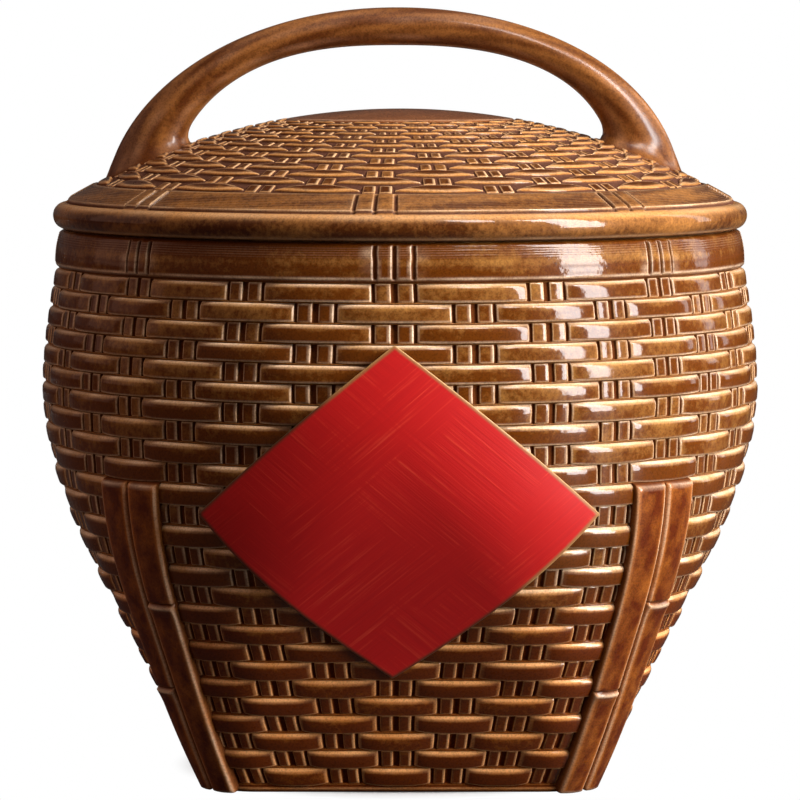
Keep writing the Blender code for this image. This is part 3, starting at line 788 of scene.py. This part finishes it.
def brushedPaint(name, dark, bright, streak, side, rim):
    # red gloss paint brushed on by hand over the glaze, with the fired edge left showing round it, and a
    # painted highlight along its upper right edges
    material, tree, shader = newMaterial(name)
    add = partial(addNode, tree)
    place = add("TexCoord").outputs["Object"]
    marks = add("Attribute", {"attribute_name": "relief"})
    parts = add("SeparateColor", links={0: marks.outputs["Color"]})
    shades = []
    for lean in panel["strokeLeans"]:
        turned = add("Mapping", {"Rotation": (0, math.radians(lean), 0)}, {"Vector": place})
        drawn = add("Mapping", {"Scale": panel["strokeScale"], "Location": (lean, 0, lean)},
                    {"Vector": turned.outputs[0]})
        shade = add("TexNoise", {"Scale": 1.0, "Detail": 4, "Roughness": 0.6}, {"Vector": drawn.outputs[0]})
        shades.append(shade.outputs["Fac"])
    patches = add("TexNoise", {"Scale": panel["patchScale"], "Detail": 2}, {"Vector": place})
    choice = add("MapRange", {1: 0.47, 2: 0.56}, {0: patches.outputs["Fac"]})
    strokes = add("Mix", {"data_type": "FLOAT"},
                  {0: choice.outputs[0], 2: shades[0], 3: shades[1]}).outputs[0]
    share = add("MapRange", {1: 0.1, 2: 0.85}, {0: strokes})
    reds = add("Mix", {**colourMix, 6: linear(dark), 7: linear(bright)}, {0: share.outputs[0]})
    thin = add("MapRange", {1: 0.56, 2: 0.72, 4: 0.55}, {0: strokes})
    streaked = add("Mix", {**colourMix, 7: linear(streak)}, {0: thin.outputs[0], 6: reds.outputs[2]})
    sided = add("Mix", {**colourMix, 7: linear(side)}, {0: parts.outputs["Green"], 6: streaked.outputs[2]})
    # the rim colour: the pale fired edge, and the painted highlight on the upper right
    rimmed = add("Mix", {**colourMix, 7: linear(rim)}, {0: parts.outputs["Red"], 6: sided.outputs[2]})
    ridges = add("Bump", {"Strength": 0.3, "Distance": 0.0003}, {"Height": strokes})
    tree.links.new(rimmed.outputs[2], shader.inputs["Base Color"])
    tree.links.new(ridges.outputs[0], shader.inputs["Normal"])
    shader.inputs["Roughness"].default_value = 0.42
    shader.inputs["IOR"].default_value = 1.48
    return material


redPaint = brushedPaint("brushedRedPaint", dark="#b01014", bright="#cc1a16", streak="#d84a34",
                        side="#1c0a04", rim="#c9985c")


def panelShape(up):
    # the diamond's middle and its sides' reach at a place from its foot, -1, to its top, 1
    tip = np.where(up > 0, panel["topShift"], panel["footShift"])
    bow = np.where(up > 0, panel["topBow"], panel["footBow"])
    middle = panel["sideShift"] + (tip - panel["sideShift"]) * np.abs(up)
    return middle, panel["halfWidth"] * (1 + bow * np.abs(up))


def frontWall(x, z, raised):
    # the y of a point on the jar's front, raised forwards
    half, corner = wallHalf(z) + raised, wallCorner(z) + raised
    past = np.maximum(0, np.abs(x) - (half - corner))
    return -(half - corner + np.sqrt(corner**2 - past**2))


def makePanel():
    # a grid turned on its corner, laid on the wall, then given its thickness and a softened edge
    piece = addGrid("red_diamond", panel["steps"], panel["steps"])
    mesh, face = piece.data, panel["face"]
    flat = readPoints(mesh)
    across, up = flat[:, 0] - flat[:, 1], flat[:, 0] + flat[:, 1]
    shift, reach = panelShape(up)
    x, z = reach * across + shift, panel["middle"] + panel["halfHeight"] * up
    mesh.vertices.foreach_set("co", np.stack([x, frontWall(x, z, face), z], axis=1).ravel())
    finish = {"SOLIDIFY": {"thickness": panel["thickness"], "offset": -1, "use_even_offset": True},
              "BEVEL": {"width": panel["bevel"], "segments": 3, "angle_limit": math.radians(50)}}
    for kind, settings in finish.items():
        modifier = piece.modifiers.new(kind.lower(), kind)
        for key, value in settings.items():
            setattr(modifier, key, value)
        bpy.ops.object.modifier_apply(modifier=modifier.name)
    x, y, z = readPoints(mesh).T
    up = (z - panel["middle"]) / panel["halfHeight"]
    shift, reach = panelShape(up)
    inside = (1 - np.abs(x - shift) / reach - np.abs(up)) * panel["halfWidth"] * panel["slant"]
    raised = frontWall(x, z, 0) - y
    side = most(1 - fade(inside, 0.0002, 0.0011), 1 - fade(raised, face - 0.0012, face - 0.0004))
    # the pale rim is made much stronger along the upper right edges: a painted highlight from the lamps above
    # and to the right
    highlightUpperRight = fade((x - shift) + (z - panel["middle"]), 0.01, 0.03)
    rim = bump(inside, 0.0, 0.0006) * fade(raised, face - 0.001, face - 0.0003) * (0.15 + 0.75 * highlightUpperRight)
    setMarks(mesh, glazeMarks(rim, side, np.full(len(x), 0.5), 0))
    bpy.ops.object.shade_smooth_by_angle(angle=math.radians(40))
    dress(piece, "jar", "panel_paint", redPaint, "red_panel")
    print("red panel made")


# Lid

lid = {
    "radius": 0.1458,
    "bead": 0.0107,
    "beadDepth": 0.0049,
    "beadLitTop": (20, 58),  # degrees up round the bead, over which its glaze is painted thin and golden: partly a painted highlight from above
    "shoulder": 0.0007,
    "dome": 0.278,  # radius of its sphere
    "seat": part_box("lid")[0][2] + 0.008,  # the spigot hangs down from here
    "bandOuter": 0.1396,
    "bandInner": 0.1274,
    "linePitch": 0.0011,
    "lineDepth": 0.00012,
    "disc": 0.0487,
    "rows": 15,
    "rowShrink": 0.028,  # each row is this much of the outermost one's height less than the last
    "pieces": {"inner": range(10, 15), "middle": range(5, 10), "outer": range(0, 5)},
    "turn": math.radians(-4.1),
    "wall": 0.008,
    "innerFillet": 0.006,
    "spigot": 0.1326,
    "spigotWall": 0.006,
    "spigotDepth": 0.008,
    "spigotRounding": 0.001,
}
lidWeave = {
    **weave,
    "pair": 0.0067,  # a pair's width where pairs are pairPitch apart, and its share of what is more
    "pairPitch": 0.0236,
    "pairShare": 0.2,
    "slatGap": 0.0015,
    "sideGap": 0.0010,
    "depth": 0.0006,
    "bulge": 0.0005,
    "highest": 0.0003,
    "slatRise": 0.0006,
    "rowRise": 0.0002,
    "rowGroove": 1.0,
    "weftTop": 0.0002,
    "weftFoot": 0.0003,
    "topSag": 0,
    "topLens": 0.0042,
    "lens": 0.0014,
    "lensPower": 2,
    "slatTop": 0.0005,
    "slatFoot": 0.0006,
    "topRounding": 0.0009,
    "footRounding": 0.0006,
    "sideRounding": 0.0004,
    # a weft's top line and the golden band above coreTop are partly a painted highlight from above, as on the
    # body
    "topCreamAndHighlight": (0.0006, 0.00035, 0.8),
    "footLine": (0.0011, 0.0005, 0.6),
    "coreTop": 0.0012,
    "coreFoot": 0.0020,
    "slatCore": 0.75,
    "swayAcross": 0.00012,
}


def domeHeight(radius):
    inner = lid["radius"] - lid["beadDepth"]
    edge = lid["seat"] + lid["bead"] + lid["shoulder"]
    return edge + np.sqrt(lid["dome"] ** 2 - radius**2) - math.sqrt(lid["dome"] ** 2 - inner**2)


def around(turn, radius, z):
    # points round the axis
    return np.stack([radius * np.cos(turn), radius * np.sin(turn), z], axis=1)


def onDome(turn, radius, raised):
    # a point on the lid's dome, raised square to it
    lean = radius / lid["dome"]
    return around(turn, radius + raised * lean, domeHeight(radius) + raised * np.sqrt(1 - lean**2))


def lidTurn(stave):
    return front + lid["turn"] + stave * 2 * math.pi / weave["staves"]


def makeLidWeave():
    tones = np.random.default_rng(14).random((lid["rows"], weave["staves"]))
    start, end = math.asin(lid["bandInner"] / lid["dome"]), math.asin(lid["disc"] / lid["dome"])
    shares = 1 - lid["rowShrink"] * np.arange(lid["rows"])
    pitches = (start - end) * shares / shares.sum()
    middles = start - np.cumsum(pitches) + pitches / 2

    def place(column, ring):
        row = ring[:, 0].astype(int)
        pitch, middle, share = pitches[row], middles[row], shares[row]
        radius = lid["dome"] * np.sin(middle + pitch * ring[:, 1] / 4)
        step = radius * 2 * math.pi / weave["staves"]
        pairWidth = lidWeave["pair"] + lidWeave["pairShare"] * (2 * step - lidWeave["pairPitch"])
        # some sizes follow the height of a row
        look = {**lidWeave, **{key: lidWeave[key] * share for key in ("topLens", "lens", "coreFoot")}}
        lineAt, lineWidth, lineShare = lidWeave["footLine"]
        look["footLine"] = (lineAt * share, lineWidth * share, lineShare)
        # outwards is down the slope, so up on a row is towards the disc
        beside, up, raised, marks = weaveForm(column, ring * (1, -1), step, pitch * lid["dome"], pairWidth,
                                              look, tones)
        radius = lid["dome"] * np.sin(middle - up / lid["dome"])
        beside = beside + look["swayAcross"] * sway(column[:, 0] * 2.3, radius * 200, 1.7)
        return onDome(lidTurn(column[:, 0] + beside / step), radius, raised), marks

    for label, rows in lid["pieces"].items():
        wrapGrid(f"woven_lid_{label}", weaveColumns(), weaveRings(rows, weaveKeys["lidRings"])[::-1], place,
                 "lid", "lid_glaze", lidGlaze, *(["lid"] if label == "outer" else []))
    print("woven lid made")


def makeLidBand():
    # from the weave out over the plain band, the double groove and the bead, down to the seat
    inner, outer = lid["bandInner"], lid["bandOuter"]
    step = outer * 2 * math.pi / weave["staves"]
    ground = betweenRows(lidWeave)
    # rows are radius, raised, edge, groove, and how much of the ties they show
    rows = [(inner, ground, 0, 1, 0), (inner + 0.0003, ground * 0.5, 0, 0.8, 0)]
    rows += [(inner + 0.0007, -0.0003, 0.5, 0, 0), (inner + 0.0013, 0, 0.3, 0, 0)]
    for radius in np.arange(inner + 0.0018, outer - 0.0008, 0.00028):
        wave = math.cos(2 * math.pi * (radius - inner) / lid["linePitch"])
        rows.append((radius, wave * lid["lineDepth"], max(0, wave) * 0.16, max(0, -wave) * 0.25, 1))
    rows += [(outer - 0.0005, 0, 0.2, 0, 0.5), (outer - 0.0001, -0.0001, 0.8, 0, 0.5)]
    rows += [(outer + 0.0003, -0.0009, 0, 0.8, 0.5), (outer + 0.0008, -0.0013, 0, 0.9, 0.5)]
    # the bead's rows have degrees up round it in place of the radius
    beadStart = len(rows)
    for angle in (88, 80, 72, *np.linspace(64, -90, 21)):
        # the cream near the top of the bead is partly a painted highlight from above, and a cream line runs
        # low on it
        rows.append((angle, 0, bump(angle, 60, 22, 0.4) + bump(angle, -56, 9, 0.6), 0, 0))
    table = np.array(rows)

    def place(stave, index):
        turn, isBead = lidTurn(stave), index >= beadStart
        radius, raised, edge, groove, band = table[index.astype(int)].T
        cut, slat, line = tieMarks(stave, step, tie["lidApart"])
        bend = np.radians(np.where(isBead, radius, 0))
        out = lid["radius"] - lid["beadDepth"] * (1 - np.cos(bend))
        bead = around(turn, out, lid["seat"] + lid["bead"] / 2 * (1 + np.sin(bend)))
        thick = 0.65 + 0.25 * sway(stave * 0.7, index * 0.08, 3.0)
        # the upper bead is painted paler: partly a painted highlight from above
        thick = thick - np.where(isBead, 0.6 * fade(radius, *lid["beadLitTop"]), 0)
        raised = raised * (1 - slat * band) + (slat * tie["slatRise"] - cut * tie["depth"]) * band
        dome = onDome(turn, np.where(isBead, outer, radius), raised)
        edge = np.maximum(edge * (1 - cut * band), line * 0.85 * band)
        tone = 0.5 + 0.4 * sway(stave * 0.9, index * 0.05, 1.0)
        points = np.where(isBead[:, None], bead, dome)
        return points, glazeMarks(edge, np.maximum(groove, cut * band), tone, thick)

    wrapGrid("lid_band_and_bead", tieColumns(step, tie["lidApart"]), np.arange(len(rows), dtype=float), place,
             "lid", "lid_glaze", lidGlaze)
    print("lid band and bead made")


def turnedPlace(turn, ring):
    # a form turned on the axis: profile rows are radius, height, edge, groove and thick
    radius, z, edge, groove, thick = ring.T
    tone = 0.5 + 0.4 * sway(turn * 2, radius * 90, 1.0)
    return around(turn, radius, z), glazeMarks(edge, groove, tone, thick)


def makeLidPlain():
    turns = np.linspace(0, 2 * math.pi, 193)
    disc, seat, spigot, rounding = lid["disc"], lid["seat"], lid["spigot"], lid["spigotRounding"]
    top = [(radius, domeHeight(radius), 0, 0, 0.45) for radius in np.linspace(0, disc - 0.003, 14)]
    for inset, down, edge, groove in ((0.0020, 0, 0.2, 0), (0.0012, 0.0001, 0.3, 0), (0.0006, 0.0006, 0, 0.4),
                                      (0, -betweenRows(lidWeave), 0, 1)):
        top.append((disc - inset, domeHeight(disc - inset) - down, edge, groove, 0.4))
    flat = [(radius, seat, 0, 0, 0) for radius in (lid["radius"] - lid["beadDepth"],
                                                   (spigot + lid["radius"]) / 2, spigot + 0.0006)]

    # down the spigot, round its foot, up its inside and on under the dome
    bottom, inside, fillet = seat - lid["spigotDepth"], spigot - lid["spigotWall"], lid["innerFillet"]
    inner = inside - fillet
    filletFoot = domeHeight(inner) - lid["wall"] - fillet
    under = [(spigot + 0.0006, seat, 0, 0, 0.4), (spigot + 0.0002, seat - 0.0002, 0, 0.5, 0.6)]
    under += [(spigot, seat - 0.0006, 0, 0.3, 0.6), (spigot, seat - 0.003, 0, 0, 0.5)]
    corner = ((0, rounding, 0.2), (rounding * 0.3, rounding * 0.3, 0.8), (rounding, 0, 0.3))
    under += [(spigot - inset, bottom + up, edge, 0, 0.3) for inset, up, edge in corner]
    under += [(inside + inset, bottom + up, edge, 0, 0.3) for inset, up, edge in reversed(corner)]
    under.append((inside, filletFoot, 0, 0, 0.6))
    for bend in (math.radians(angle) for angle in (20, 45, 70)):
        under.append((inner + fillet * math.cos(bend), filletFoot + fillet * math.sin(bend), 0, 0.2, 0.7))
    under += [(radius, domeHeight(radius) - lid["wall"], 0, 0, 0.6) for radius in np.linspace(inner, 0, 24)]
    for name, rows, material in (("lid_disc", top, discGlaze), ("lid_seat", flat, bareClay),
                                 ("lid_underside", under, lidGlaze)):
        wrapGrid(name, turns, np.array(rows), turnedPlace, "lid", "lid_glaze", material)
    print("lid disc, seat and underside made")


# Handle: an arch with soft ridges, its feet drawn out onto the lid

handle = {
    "reach": 0.1215,
    "rise": 0.083,
    "gapReach": 0.0935,
    "gapRise": 0.067,
    "outerCurve": 2.04,  # exponent, 2 for a plain ellipse
    "innerCurve": 2.5,
    "shoulderShift": 0.001,
    "topShift": -0.0012,  # the handle stands a little left of the lid's middle
    "footShift": -0.0026,
    "spring": 0.0096,
    "gripWidth": 0.025,
    "footWidth": 0.028,
    "fillet": 0.0055,
    "filletHeight": 0.010,
    "sunk": 0.0012,  # how far its feet are let into the lid
    "endRadius": 0.107,  # where a foot's skin is drawn together inside the lid, and how far below its rim
    "endDepth": 0.002,
    "stations": 150,
    "crowding": 0.85,  # exponent: under 1, stations stand closer at the feet
    "section": (  # half of it: across, through, how cream the ridge is, and how pale the facet is painted, a painted highlight on the upper slopes
        (0.0, 0.92, 0, 0), (0.24, 0.95, 0, 0), (0.44, 0.98, 0.25, 0.1), (0.64, 0.86, 0, 0.2),
        (0.82, 0.62, 0, 0.2), (0.95, 0.34, 0.35, 0.1), (0.99, 0.0, 0, 0), (0.95, -0.34, 0, 0),
        (0.84, -0.64, 0.5, 0), (0.62, -0.84, 0, 0), (0.40, -0.95, 0.4, 0), (0.20, -0.99, 0, 0),
        (0.0, -1.0, 0, 0),
    ),
}


def makeHandle():
    # the section's corners, joined by a smooth curve with three steps a side
    half = handle["section"]
    corners = np.array(list(half) + [(-across, *rest) for across, *rest in half[-2:0:-1]])
    count, perSide = len(corners), 3
    steps = np.arange(count * perSide + 1) / perSide
    first = np.floor(steps).astype(int)
    share = (steps - first)[:, None]
    before, start, end, after = (corners[(first + offset) % count] for offset in (-1, 0, 1, 2))
    section = start + share / 2 * (end - before + share * (2 * before - 5 * start + 4 * end - after
                                                          + share * (3 * start - before - 3 * end + after)))
    section[:, 2:] = np.clip(section[:, 2:], 0, 1)

    def arch(reach, rise, curve, bend):
        sine, cosine = np.clip(np.sin(bend), 0, 1), np.cos(bend)
        return reach * np.sign(cosine) * np.abs(cosine) ** (2 / curve), rise * sine ** (2 / curve)

    def skin(across, through, bend):
        # a point of the handle, from one foot to the other as bend goes from 0 to half a turn
        sine = np.clip(np.sin(bend), 0, 1)
        width = handle["gripWidth"] + (handle["footWidth"] - handle["gripWidth"]) * (1 - sine) ** 2
        inner = arch(handle["gapReach"], handle["gapRise"], handle["innerCurve"], bend)
        outer = arch(handle["reach"], handle["rise"], handle["outerCurve"], bend)
        x, z = (inner[axis] + (outer[axis] - inner[axis]) * ((1 + through) / 2) for axis in (0, 1))
        x = x + handle["footShift"] + (handle["topShift"] - handle["footShift"]) * sine
        x = x + handle["shoulderShift"] * np.sin(2 * bend) ** 2
        return np.stack([x, across * width / 2, wall["rimHeight"] + handle["spring"] + z], axis=1)

    def height(point):
        return point[:, 2] - domeHeight(np.hypot(point[:, 0], point[:, 1]))

    # where each line along the handle meets the lid, found by halving
    sunk = -handle["sunk"]
    ends = []
    for outermost in (0, math.pi):
        below, above = np.full(len(section), float(outermost)), np.full(len(section), math.pi / 2)
        for _ in range(40):
            middle = (below + above) / 2
            under = height(skin(section[:, 0], section[:, 1], middle)) < sunk
            below, above = np.where(under, middle, below), np.where(under, above, middle)
        ends.append(above)
    along = np.linspace(-1, 1, handle["stations"] - 1)
    eased = 0.5 + 0.5 * np.sign(along) * np.abs(along) ** handle["crowding"]

    def place(index, along):
        index = index.astype(int)
        across, through, ridge, litFacet = section[index].T
        share = np.clip(along, 0, 1)
        bend = ends[0][index] + (ends[1] - ends[0])[index] * share
        points = skin(across, through, bend)
        over = height(points) - sunk
        # the foot spreads away from its middle, and follows the dome
        spread = (points - skin(0 * across, 0 * through, bend))[:, :2]
        length = np.maximum(np.hypot(spread[:, 0], spread[:, 1]), 1e-6)
        outside = np.clip(through, 0, 1) * np.abs(spread[:, 0]) / length
        near = np.clip(1 - over / handle["filletHeight"], 0, 1) ** 2.2
        push = handle["fillet"] * (1 - 0.8 * outside) * near
        points[:, :2] += spread / length[:, None] * push[:, None]
        dome = domeHeight(np.hypot(points[:, 0], points[:, 1]))
        points[:, 2] += np.where(over < 0.004, dome + sunk + over - points[:, 2], 0)
        middle = np.zeros_like(points)
        middle[:, 0] = np.sign(np.cos(bend)) * handle["endRadius"] + handle["footShift"]
        middle[:, 2] = domeHeight(handle["endRadius"]) + sunk - handle["endDepth"]
        points = np.where(((along < 0) | (along > 1))[:, None], middle, points)
        streak = 0.5 + 0.5 * sway(share * 26, across * 3, 2.0)
        # the upper slopes are painted pale: a painted highlight from above
        pale = litFacet * (0.5 + 0.5 * sway(share * 15, through * 2, 3.0))
        edge = np.maximum(ridge * (0.1 + 0.9 * streak**2), pale)
        groove = (1 - fade(over, 0.0006, 0.0022)) * 0.55
        thick = 0.62 + 0.35 * sway(share * 16, through * 3 + across * 2, 0.4) - 0.25 * (np.abs(across) < 0.4)
        fromFoot = np.minimum(share, 1 - share)
        tone = 0.5 + 0.4 * sway(share * 6, across, 4.0) + 0.2 * fade(0.12 - fromFoot, 0, 0.1)
        return points, glazeMarks(edge, groove, tone, thick)

    # the first and last rings, at -1 and 2, are the drawn-together ends
    wrapGrid("arched_handle", np.arange(len(section), dtype=float), np.concatenate([[-1], eased, [2]]), place,
             "lid", "handle_glaze", handleGlaze, "lid_handle")
    bpy.ops.object.mode_set(mode="EDIT")
    bpy.ops.mesh.select_all(action="SELECT")
    bpy.ops.mesh.normals_make_consistent(inside=False)
    bpy.ops.object.mode_set(mode="OBJECT")
    print("handle made")


makeBodyWeave()
makeCollar()
makeJarPlain()
makePosts()
makePanel()
makeLidWeave()
makeLidBand()
makeLidPlain()
makeHandle()


# Camera, lights and room

studio = {
    "lens": 205.4,
    "sensor": 36,
    "distance": 1.923,
    "height": 0.3084,
    "tilt": 4.573,  # degrees down
    "lampAim": 0.16,
    "floorBounce": 0.02,  # the floor is pale to the camera, and dark to the jar, so that it lights it little
    "floorPale": 0.9,
    "worldLight": 0.05,
    "worldShine": 0.04,  # what the glaze mirrors of the white room
    "floorShine": 0.01,
    "floorNear": 0.070,  # the floor keeps the jar's shadow up to here, and is white from floorFar on
    "floorFar": 0.098,
}
lamps = {
    # name: degrees right of the front, distance, height, width, tall, watts, colour
    "key": (59, 1.5, 0.85, 0.46, 1.8, 56, "#fffbf9"),
    "rear": (100, 2.0, 0.8, 2.4, 1.8, 44, "#fffdff"),
    "rim": (116, 2.0, 0.9, 0.35, 1.6, 5, "#ffffff"),
    "high": (30, 1.0, 1.5, 0.3, 0.55, 8, "#fffbf9"),
    "fill": (-80, 2.0, 1.0, 3.0, 2.4, 14.5, "#ffcdb4"),
    "side": (-104, 2.0, 0.9, 1.2, 1.4, 1.5, "#ffc0a4"),
    "top": (10, 0.3, 1.5, 0.9, 0.9, 1, "#fffbf9"),
    "back": (190, 2.0, 0.25, 2.4, 0.5, 26, "#fffbf9"),
}


def addToScene(name, data):
    thing = bpy.data.objects.new(name, data)
    bpy.context.scene.collection.objects.link(thing)
    return thing


def makeCamera():
    data = bpy.data.cameras.new("camera")
    data.lens = studio["lens"]
    data.sensor_width = studio["sensor"]
    camera = addToScene("camera", data)
    camera.location = (0, -studio["distance"], studio["height"])
    camera.rotation_euler = (math.radians(90 - studio["tilt"]), 0, 0)
    bpy.context.scene.camera = camera


def makeLights():
    # a tall soft box from the right front, a wide one from the right rear, a low one behind, and weak fills
    for name, (azimuth, distance, height, width, tall, power, colour) in lamps.items():
        data = bpy.data.lights.new(name, "AREA")
        data.shape = "RECTANGLE"
        data.size = width
        data.size_y = tall
        data.energy = power
        data.color = linear(colour)[:3]
        lamp = addToScene(name, data)
        lamp.visible_camera = False
        lamp.visible_glossy = width < 2  # the wide lamps only lift the shade: the glaze doesn't mirror them
        angle = math.radians(azimuth)
        lamp.location = (distance * math.sin(angle), -distance * math.cos(angle), height)
        aim = Vector((0, 0, studio["lampAim"])) - lamp.location
        lamp.rotation_euler = aim.to_track_quat("-Z", "Y").to_euler()


def whiteRays(tree, shine):
    # 1 for rays that see the white room directly or through glass, shine for mirrored ones
    path = addNode(tree, "LightPath").outputs
    direct = addNode(tree, "Math", {"operation": "MAXIMUM"},
                     {0: path["Is Camera Ray"], 1: path["Is Transmission Ray"]})
    mirrored = addNode(tree, "Math", {"operation": "MULTIPLY", 1: shine}, {0: path["Is Glossy Ray"]})
    white = addNode(tree, "Math", {"operation": "MAXIMUM"}, {0: direct.outputs[0], 1: mirrored.outputs[0]})
    return white.outputs[0]


def makeRoom():
    world = bpy.data.worlds.new("studio")
    bpy.context.scene.world = world
    world.use_nodes = True
    tree, background = world.node_tree, world.node_tree.nodes["Background"]
    white = whiteRays(tree, studio["worldShine"])
    strength = addNode(tree, "Math", {"operation": "MAXIMUM", 1: studio["worldLight"]}, {0: white})
    background.inputs["Color"].default_value = (1, 1, 1, 1)
    tree.links.new(strength.outputs[0], background.inputs["Strength"])

    bpy.ops.object.select_all(action="DESELECT")
    bpy.ops.mesh.primitive_plane_add(size=60)
    floor = bpy.context.active_object
    floor.name = "floor"
    material, tree, shader = newMaterial("paleFloor")
    add = partial(addNode, tree)
    seen = add("LightPath").outputs["Is Camera Ray"]
    tone = add("MapRange", {3: studio["floorBounce"], 4: studio["floorPale"]}, {0: seen})
    tree.links.new(tone.outputs[0], shader.inputs["Base Color"])
    shader.inputs["Roughness"].default_value = 0.6
    away = add("VectorMath", {"operation": "LENGTH"}, {0: add("TexCoord").outputs["Object"]})
    far = add("MapRange", {1: studio["floorNear"], 2: studio["floorFar"], "interpolation_type": "SMOOTHSTEP"},
              {0: away.outputs["Value"]})
    white = whiteRays(tree, studio["floorShine"])
    share = add("Math", {"operation": "MULTIPLY"}, {0: far.outputs[0], 1: white})
    glow = add("Emission")
    mixed = add("MixShader", links={0: share.outputs[0], 1: shader.outputs[0], 2: glow.outputs[0]})
    tree.links.new(mixed.outputs[0], tree.nodes["Material Output"].inputs["Surface"])
    floor.data.materials.append(material)


makeCamera()
makeLights()
makeRoom()
bpy.context.scene.view_settings.view_transform = "Standard"
print("camera, lights and room made")
